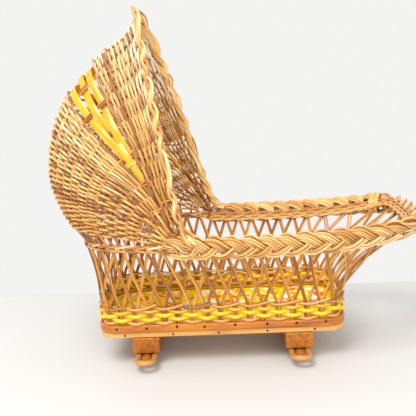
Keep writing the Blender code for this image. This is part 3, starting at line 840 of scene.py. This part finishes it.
def wall_top_curve():
    """Where the stakes meet the rim: round the foot to the far pivot, and back round the head."""
    share = np.linspace(0.0005, 0.9995, 600)
    rim = rim_point(share)
    out = unit(np.cross(directions(rim), UP))
    inset = 3.5 * MM + 9 * MM * np.sin(plait_tilt(share))
    rim = rim - out * inset[:, None] - UP * (7 * MM * np.cos(plait_tilt(share)))[:, None]
    phi = np.linspace(pi - 0.02, 0.02, 300)
    head = hood_base(0.0, phi) - UP * 3 * MM
    return np.vstack([rim, head])


WALL_TOP = wall_top_curve()
WALL_ANGLE = np.arctan2(WALL_TOP[:, 1], WALL_TOP[:, 0] - BASE_X)
WALL_FOOT, _ = rounded_rectangle(*WEAVE_OUTLINE, WALL_STEPS)


def wall_top(direction):
    """Top of the wall seen from the base centre along each direction."""
    angle = np.arctan2(direction[:, 1], direction[:, 0])
    return read(WALL_TOP, WALL_ANGLE, angle, period=2 * pi)


def wall_point(place, level):
    """Point on the leaning wall: place counts stake groups, level runs from weave to rim."""
    place = np.asarray(place, float)
    level = np.broadcast_to(np.asarray(level, float), place.shape)
    low = wrapped(WALL_FOOT, (place / STAKE_GROUPS % 1.0) * WALL_STEPS)
    along = LEAN_ALONG + LEAN_FOOT * np.clip(low[:, :1] / WEAVE_HALF_LENGTH, 0, 1)
    high = wall_top(np.hstack([low[:, :1] * along, low[:, 1:2] * LEAN_ACROSS]))
    lean = (np.clip(level, 0, 1.2) ** LEAN_CURVE)[:, None]
    flat = (low + np.array((BASE_X, 0, 0))) * (1 - lean) + high * lean
    z = WEAVE_TOP * (1 - level) + high[:, 2] * level
    return np.stack([flat[:, 0], flat[:, 1], z], -1)


def wall_out(place, level):
    step = 0.02
    along = wall_point(place + step, level) - wall_point(place - step, level)
    upward = wall_point(place, level + step) - wall_point(place, level - step)
    return unit(np.cross(along, upward))


def build_lattice():
    """Each stake group splits into a pair leaning each way; a pair crosses two others on its way up."""
    bundles = {name: Bundle() for name in ("foot", "far", "head", "near")}
    rng = random.Random(11)
    level = np.linspace(*LATTICE_LEVELS, LATTICE_STEPS)
    swing = np.clip(level, 0, HIGHEST_LEVEL)
    for group in range(STAKE_GROUPS):
        panel = next(name for last, name in PANEL_ENDS if group <= last)
        for lean in (-1, 1):
            slip = rng.uniform(-0.05, 0.05)
            bow = rng.uniform(-0.05, 0.05)
            reach = FOOT_SPLAY + swing * (LATTICE_REACH + slip) + bow * np.sin(pi * swing)
            for twin in (-0.5, 0.5):
                at = group + lean * reach + twin * TWIN_PITCH / GROUP_PITCH
                path = wall_point(at, swing)
                out = wall_out(at, np.clip(level, 0.03, 1))
                path[:, 2] += np.minimum(level, 0) * FOOT_DEPTH
                side = -lean * CROSSING_OFFSET * np.clip(swing * 8, 0, 1)
                radius = LATTICE_CANE * rng.uniform(0.92, 1.08)
                bundles[panel].cane(path + out * side[:, None], radius, 7, out=out)
    for name, bundle in bundles.items():
        bundle.build(name + "_stakes", STAKE, "cane", (name + "_lattice",))


# ---- rim plait
PLAIT_PITCH = 21.0 * MM
PLAIT_HALF = 12.4 * MM
# Along the rim in plait steps, across it in half widths, and lift in millimetres.
OVER_OUTER = (
    (-1.0, 0.30, -6.5), (-0.62, 0.80, -6.2), (-0.25, 0.98, -3.4), (0.0, 0.86, 0.6), (0.25, 0.93, 2.4),
    (0.54, 0.99, 3.6), (0.89, 0.80, 4.6), (1.25, 0.30, 4.2), (1.54, -0.14, 1.8), (1.78, -0.52, -2.0))
OVER_INNER = (
    (-1.0, -0.35, -6.5), (-0.60, 0.10, -6.8), (-0.20, 0.45, -5.0), (0.12, 0.46, -1.0), (0.32, 0.46, 1.6),
    (0.50, 0.38, 3.0), (0.75, 0.06, 3.8), (0.98, -0.33, 2.2), (1.16, -0.64, -0.6), (1.30, -0.84, -3.0))
UNDER_OUTER = (
    (-0.15, -0.50, -2.6), (0.05, -0.66, -0.4), (0.25, -0.82, 1.4), (0.61, -0.97, 3.2), (1.0, -0.94, 5.0),
    (1.38, -0.60, 7.4), (1.84, 0.10, 8.6))
UNDER_INNER = (
    (-0.05, -0.20, -3.0), (0.12, -0.38, -1.6), (0.30, -0.54, 0.2), (0.55, -0.70, 2.2), (0.90, -0.70, 4.6),
    (1.24, -0.40, 7.2), (1.66, 0.24, 8.6))
INNER_ROWS = 3
INNER_ROW_CANE = 1.3 * MM
BINDING_PLACE = 0.655
BINDING_TURNS = 5
BINDING_PITCH = 3.0 * MM
BINDING_HALF_HEIGHT = 14.2 * MM
BINDING_HALF_DEPTH = 9.2 * MM


def rim_frame(count):
    """Distance, place, facing and upward direction at equal steps along the rim."""
    share = np.linspace(0.0, 1.0, 4000)
    run = run_along(rim_point(share))
    target = np.linspace(0, run[-1], count)
    at = np.interp(target, run, share)
    points = rim_point(at)
    along = directions(points)
    out = unit(np.cross(along, UP))
    tilt = plait_tilt(at)[:, None]
    face = out * np.cos(tilt) - UP * np.sin(tilt)
    across = unit(np.cross(face, along))
    across *= np.sign(across[:, 2:3])
    return target, points, face, across


RIM_RUN, RIM_POINTS, RIM_FACE, RIM_ACROSS = rim_frame(1200)
RIM_LENGTH = RIM_RUN[-1]


def on_rim(run, across, lift):
    """Point on the plait: distance along the rim, height across it and lift off its face."""
    past = np.clip(run - RIM_LENGTH, 0, None) + np.clip(run, None, 0)
    inside = np.clip(run, 0, RIM_LENGTH)
    first = unit(RIM_POINTS[1] - RIM_POINTS[0])
    last = unit(RIM_POINTS[-1] - RIM_POINTS[-2])
    ends = np.where((run < 0)[:, None], first, last)
    up = unit(read(RIM_ACROSS, RIM_RUN, inside))
    out = unit(read(RIM_FACE, RIM_RUN, inside))
    middle = read(RIM_POINTS, RIM_RUN, inside) + ends * past[:, None]
    return middle + up * across[:, None] + out * lift[:, None]


def plait_cane(bundle, start, pitch, knots, rng, radius):
    curve = smooth_path(knots, 5)
    path = on_rim(start + curve[:, 0] * pitch, curve[:, 1] * PLAIT_HALF, curve[:, 2] * MM)
    bundle.cane(path, radius * rng.uniform(0.95, 1.05), 8)


def between(first, second, share):
    """Knots part of the way from one list to another."""
    return [tuple(a * (1 - share) + b * share for a, b in zip(p, q)) for p, q in zip(first, second)]


def build_rim():
    """Plait of broad bundles passing over and narrow ones passing under, with plain rows inside it."""
    rng = random.Random(5)
    bundle = Bundle()
    count = round(RIM_LENGTH / PLAIT_PITCH)
    pitch = RIM_LENGTH / count
    for k in range(-1, count):
        start = (k + rng.uniform(-0.04, 0.04)) * pitch
        reach = 1 + rng.uniform(-0.05, 0.05)
        for cane in range(4):
            knots = [(u, v * reach, w) for u, v, w in between(OVER_OUTER, OVER_INNER, cane / 3)]
            plait_cane(bundle, start, pitch, knots, rng, RIM_CANE)
        ends = rng.uniform(-0.08, 0.08)
        for under in (UNDER_OUTER, UNDER_INNER):
            u, v, w = under[-1]
            knots = under[:-1] + ((u + ends + rng.uniform(-0.04, 0.04), v, w),)
            plait_cane(bundle, start, pitch, knots, rng, RIM_CANE * 1.04)
    run = np.linspace(-4 * MM, RIM_LENGTH + 4 * MM, 900)
    for row in range(INNER_ROWS):
        for part in range(2):
            swing = run / (pitch * 0.9) * pi + row * pi / 2 + part * pi
            across = (-2.4 - 3.9 * row) * MM + 1.2 * MM * np.sin(swing)
            lift = (-9.6 + 1.2 * np.cos(swing)) * MM
            bundle.cane(on_rim(run, across, lift), INNER_ROW_CANE, 7)
    bundle.build("plaited_rim", RIM, "cane", ("rim_plait",))


def build_binding():
    """Turns of cane that tie the rim where the plait's ends meet."""
    binding = Bundle()
    angle = np.linspace(0, 2 * pi, 28, endpoint=False)
    for turn in range(BINDING_TURNS):
        place = RIM_LENGTH * BINDING_PLACE + (turn - BINDING_TURNS // 2) * BINDING_PITCH
        path = on_rim(place + BINDING_PITCH / 2 * np.sin(angle), np.cos(angle) * BINDING_HALF_HEIGHT,
                      np.sin(angle) * BINDING_HALF_DEPTH - 1.6 * MM)
        binding.cane(path, RIM_CANE, 8, closed=True)
    binding.build("rim_binding_cane", RIM, "cane", ("rim_binding",))


# ---- hood
def stake_phis(count):
    """Stakes stand at equal steps along the yellow strips."""
    phi = np.linspace(0.001, pi - 0.001, 4000)
    run = run_along(hood_base(radians(YELLOW_ANGLES[0]), phi))
    share = (np.arange(count) + 0.5) / count
    return np.interp(share * run[-1], run, phi)


STAKE_PHIS = stake_phis(HOOD_STAKES)
SPLIT_PHIS = stake_phis(2 * HOOD_STAKES)


def legs(knots, steps):
    """The same number of steps between each knot and the next."""
    spans = [np.linspace(a, b, steps, endpoint=False) for a, b in zip(knots, knots[1:])]
    return np.concatenate(spans + [[knots[-1]]])


def woven_row(bundle, number, angles, radius, rng, swing):
    """One row of weaving, passing in front of one stake and behind the next.

    Where the fan grows too narrow for every row, some rows turn back before the pivot."""
    columns = SPLIT_PHIS
    theta = angles[number]
    step = angles[1] - angles[0]
    space = radial_at(theta, columns) * step
    stride = 2 ** np.ceil(np.log2(np.clip(ROW_SPACE / space, 1, None))).astype(int)
    alive = np.nonzero(number % stride == 0)[0]
    first = alive[0]
    last = alive[-1]
    sign = np.where((np.arange(len(columns)) + number // stride) % 2 == 0, 1.0, -1.0)
    knots = columns[first:last + 1]
    before = columns[first - 1] if first else 0.0
    after = columns[last + 1] if last + 1 < len(columns) else pi
    start = 0.4 * knots[0] + 0.6 * before
    end = 0.4 * knots[-1] + 0.6 * after
    knots = np.concatenate([[start], knots, [end]])
    height = np.concatenate([[-0.5], sign[first:last + 1], [-0.5]])
    phi = legs(knots, 6)
    place = np.interp(phi, knots, np.arange(len(knots)))
    low = np.minimum(place.astype(int), len(knots) - 2)
    blend = 0.5 - 0.5 * np.cos(pi * (place - low))
    wave = height[low] * (1 - blend) + height[low + 1] * blend
    drift = 0.25 * step * np.sin(phi * rng.uniform(2, 5) + rng.uniform(0, 6))
    angle = bent(spread(theta, phi) + drift + ROW_SHIFT * step * wave, phi)
    lift = swing * wave + rng.uniform(-0.25, 0.25) * MM
    bundle.cane(hood_point(angle, phi, lift), radius, 6, out=hood_normal(angle, phi))


def build_hood_weave(name, material, cad, weave, seed):
    rng = random.Random(seed)
    bundle = Bundle()
    low, high, rows, swing = weave
    angles = low + (high - low) * (np.arange(rows) + 0.5) / rows
    for number in range(rows):
        woven_row(bundle, number, angles, ROW_CANE * rng.uniform(0.88, 1.08), rng, swing)
    bundle.build(name, material, "cane", (cad,))


def build_strips():
    """Three painted strips that run side by side over the top and gather into one at each lower end."""
    sides = 10
    middle = YELLOW_ANGLES[1] + 0.6
    for number, degrees in enumerate(YELLOW_ANGLES, 1):
        stop = 0.43 if number == 2 else 0.58
        crossed = np.nonzero((STAKE_PHIS > stop + 0.04) & (STAKE_PHIS < pi - stop - 0.04))[0]
        knots = np.concatenate([[stop], STAKE_PHIS[crossed], [pi - stop]])
        phi = legs(knots, 10)
        count = np.interp(phi, knots, np.arange(len(knots)) + crossed[0] - 1)
        wave = -np.cos(pi * (count + number))
        from_end = np.minimum(phi, pi - phi) - 0.5
        gather = np.clip(0.25 + 1.6 * from_end, 0, 1)
        angle = bent(np.radians(middle + (degrees - middle) * gather), phi)
        path = hood_point(angle, phi, (2.5 * wave - 0.5 * number) * MM)
        strip = Bundle()
        out = hood_normal(angle, phi)
        strip.ribbon(path, out, STRIP_HALF_WIDTH, STRIP_HALF_THICK, tone=0.2 * number, sides=sides)
        ring = strip.verts[0].reshape(len(phi), sides, 3)
        taper = np.clip(0.8 + 1.1 * from_end, 0, 1) * (1 - 0.35 * np.clip(phi - pi / 2, 0, 1))
        ring[:] = path[:, None] + (ring - path[:, None]) * taper[:, None, None]
        strip.build("hood_strip_" + str(number), FADED, "yellow_paint", ("hood_yellow_strip_" + str(number),))


def build_hood_stakes():
    """Pairs of stakes over the hood: together behind the yellow strips, apart through both weaves."""
    stakes = Bundle()
    theta = np.linspace(radians(-4), HOOD_ANGLE - 0.01, 54)
    apart = (np.clip((PAIRED_FROM - theta) / PARTING_BELOW, 0, 1)
             + np.clip((theta - PAIRED_TO) / PARTING_ABOVE, 0, 1))[:, None]
    for k, phi in enumerate(STAKE_PHIS):
        out = hood_normal(theta, phi)
        centre = hood_point(theta, phi, 0.0)
        side = np.cross(directions(centre), out)
        for twin in (0, 1):
            paired = centre + side * (1 - 2 * twin) * PAIR_HALF_GAP
            single = hood_point(theta, SPLIT_PHIS[2 * k + twin], 0.0)
            stakes.cane(paired * (1 - apart) + single * apart, HOOD_STAKE_CANE, 7, out=out)
    stakes.build("hood_stakes", BROWN, "cane", tuple("hood_stake_%d" % k for k in range(1, 10)))


def edge_line(phi):
    """Centre of the hood's front braid: it sweeps forward onto the rim at each foot."""
    centre = hood_point(np.full_like(phi, HOOD_ANGLE), phi, 0.5 * MM)
    reach = radial_at(HOOD_ANGLE, phi)
    centre[:, 0] += 18 * MM * np.exp(-reach / (13 * MM)) - 4 * MM * np.sin(phi) ** 8
    centre[:, 2] += 4 * MM * np.exp(-reach / (10 * MM))
    return centre


EDGE_PERIOD = 92 * MM
EDGE_HALF = 5.4 * MM
EDGE_LIFT = 2.2 * MM
EDGE_CANE_PITCH = 2.5 * MM
EDGE_STRANDS = 3
EDGE_TWINS = 4


def build_edge():
    """Loose flat plait of three strands, four canes to a strand, drawn out along the hood's front edge."""
    centre = resample(edge_line(np.linspace(0.04, pi - 0.04, 1200)), 640)
    along = directions(centre)
    middle = np.array((PIVOT_X - 0.06, 0.0, PIVOT_Z + 0.12))
    toward = unit(centre - middle)
    forward = unit(FORWARD - along * along[:, :1])
    side = unit(toward - part_along(toward, along) - 0.5 * part_along(toward, forward))
    out = unit(np.cross(side, along))
    run = run_along(centre)
    rng = random.Random(8)
    slack = 1 + 0.22 * np.sin(run / (43 * MM)) + 0.15 * np.sin(run / (17 * MM) + 1)
    slip = 0.5 * np.sin(run / (31 * MM)) + 0.3 * np.sin(run / (13 * MM) + 2)
    broad = 1 + 0.25 * np.clip((1 - 2 * run / run[-1]) * 2, -1, 1)
    edge = Bundle()
    for strand in range(EDGE_STRANDS):
        swing = 2 * pi * (run / EDGE_PERIOD + strand / EDGE_STRANDS) + slip
        for twin in range(EDGE_TWINS):
            stray = rng.uniform(0.3, 0.9) * MM * np.sin(run / (rng.uniform(14, 30) * MM) + rng.uniform(0, 6))
            apart = (twin - 1.5) * EDGE_CANE_PITCH
            across = (EDGE_HALF * np.sin(swing) * slack + apart * np.cos(swing) * 0.8) * broad + stray
            lift = EDGE_LIFT * np.sin(2 * swing) + apart * 0.4 * np.sin(swing)
            path = centre + side * across[:, None] + out * lift[:, None]
            edge.cane(path, TWIST_CANE * rng.uniform(0.9, 1.05), 8)
    edge.build("hood_edge_plait", RIM, "cane", ("hood_edge_braid",))


def build_waling():
    """Two rows of turned canes round the head at the height of the rim."""
    bundle = Bundle()
    phi = np.linspace(0.05, pi - 0.05, 400)
    centre = hood_base(0.0, phi)
    run = run_along(centre)
    out = np.stack([-np.sin(phi), -np.cos(phi), np.zeros_like(phi)], -1)
    for row, turn in enumerate((-1, 1)):
        for part in range(3):
            swing = 2 * pi * (run / (38 * MM) + part / 3) * turn
            lift = (1.3 * np.sin(swing) - row * 3.8 + 0.8 * np.sin(run / (30 * MM))) * MM
            path = centre + out * (2.5 * MM * np.cos(swing))[:, None] + UP * lift[:, None]
            bundle.cane(path, 1.3 * MM, 7)
    bundle.build("head_waling_canes", NATURAL, "cane", ("head_waling",))


# ---- liner
LINER_CORNER = 16 * MM
LINER_STEPS = (72, 36)
LINER_LIFT = 0.55
LINER_THICK = 0.7 * MM


def build_liner():
    """Printed cloth laid flat on the floor, with rounded corners and a faint ripple."""
    half = np.array(half_sizes(LINER))
    nx, ny = LINER_STEPS
    grid = np.meshgrid(np.linspace(-1, 1, nx + 1), np.linspace(-1, 1, ny + 1), indexing="ij")
    grid = np.stack(grid, -1)
    flat = np.abs(grid) * half
    straight = np.minimum(flat, half - LINER_CORNER)
    past = flat - straight
    reach = np.maximum(np.linalg.norm(past, axis=-1, keepdims=True), LINER_CORNER)
    x, y = np.moveaxis(np.sign(grid) * (straight + past * LINER_CORNER / reach), -1, 0)
    ripple = 0.25 * np.sin(x * 61 + 1.3) * np.sin(y * 83 + 0.4) + 0.15 * np.sin(x * 141 + y * 97)
    z = LINER[0][2] + (LINER_LIFT + ripple) * MM
    verts = np.stack([x + (LINER[0][0] + LINER[1][0]) / 2, y, z], -1).reshape(-1, 3)
    at = np.arange(len(verts)).reshape(nx + 1, ny + 1)
    quads = np.stack([at[:-1, :-1], at[1:, :-1], at[1:, 1:], at[:-1, 1:]], -1).reshape(-1, 4)
    mesh = bpy.data.meshes.new("printed_liner")
    mesh.from_pydata(verts.tolist(), [], quads.tolist())
    mesh.shade_smooth()
    piece = placed("printed_liner", mesh)
    solid = piece.modifiers.new("thickness", "SOLIDIFY")
    solid.thickness = LINER_THICK
    solid.offset = 1.0
    dress(piece, PRINT, ("floor_liner",), body="liner")


# ---- stage, light and camera
STAGE_REACH = 12.0
STAGE_BACK = 0.215
CAMERA_PLACE = (-0.0076, -0.856, 0.3541)
CAMERA_YAW = -0.0307
CAMERA_PITCH = 0.2032
CAMERA_ROLL = -0.0482


def build_stage():
    """Pale floor that ends a little behind the cradle, under an even white world."""
    far = STAGE_REACH
    outline = [(-far, -far, 0), (far, -far, 0), (far, STAGE_BACK, 0), (-far, STAGE_BACK, 0)]
    mesh = bpy.data.meshes.new("studio_floor")
    mesh.from_pydata(outline, [], [(0, 1, 2, 3)])
    floor = placed("studio_floor", mesh)
    material, _, shader = new_material("pale_floor")
    fill(shader, Base_Color=(0.60, 0.602, 0.602, 1), Roughness=0.6)
    mesh.materials.append(material)

    world = bpy.data.worlds.new("studio")
    bpy.context.scene.world = world
    world.use_nodes = True
    fill(world.node_tree.nodes["Background"], Color=(1.0, 0.998, 0.985, 1), Strength=0.9)


def build_light(name, place, target, size, power, colour):
    light = bpy.data.lights.new(name, "AREA")
    light.shape = "DISK"
    light.size = size
    light.energy = power
    light.color = colour
    lamp = placed(name, light)
    lamp.location = place
    lamp.rotation_euler = (Vector(target) - Vector(place)).to_track_quat("-Z", "Y").to_euler()


def build_camera():
    """Camera a little above the hood's middle, tipped down and turned slightly."""
    yaw, pitch, roll = CAMERA_YAW, CAMERA_PITCH, CAMERA_ROLL
    forward = Vector((sin(yaw) * cos(pitch), cos(yaw) * cos(pitch), -sin(pitch)))
    right = Vector((cos(yaw), -sin(yaw), 0))
    up = right.cross(forward)
    turned_right = right * cos(roll) + up * sin(roll)
    turned_up = up * cos(roll) - right * sin(roll)
    data = bpy.data.cameras.new("camera")
    data.sensor_width = 36.0
    data.lens = 60.0
    data.clip_start = 0.02
    camera = placed("camera", data)
    turn = Matrix((turned_right, turned_up, -forward)).transposed().to_4x4()
    camera.matrix_world = Matrix.Translation(CAMERA_PLACE) @ turn
    bpy.context.scene.camera = camera
    bpy.context.scene.view_settings.view_transform = "Standard"


# ---- the whole scene
build_camera()
build_stage()
build_light("key", (-0.62, -1.1, 2.05), (0, 0, 0.2), 1.4, 46, (1.0, 0.97, 0.92))
build_light("fill", (0.7, -1.8, 0.8), (0, 0, 0.15), 1.8, 16, (1.0, 0.99, 0.97))
build_board()
build_edge_strip()
build_floor()
build_nails()
build_rocker("head")
build_rocker("foot")
build_base_weave()
build_base_waling()
build_lattice()
build_rim()
build_binding()
build_waling()
build_hood_weave("hood_back_weave", BACK, "hood_lower_weave", LOWER_WEAVE, seed=21)
build_hood_weave("hood_front_weave_canes", FRONT, "hood_front_weave", FRONT_WEAVE, seed=24)
build_strips()
build_hood_stakes()
build_edge()
build_liner()

bpy.context.view_layer.update()
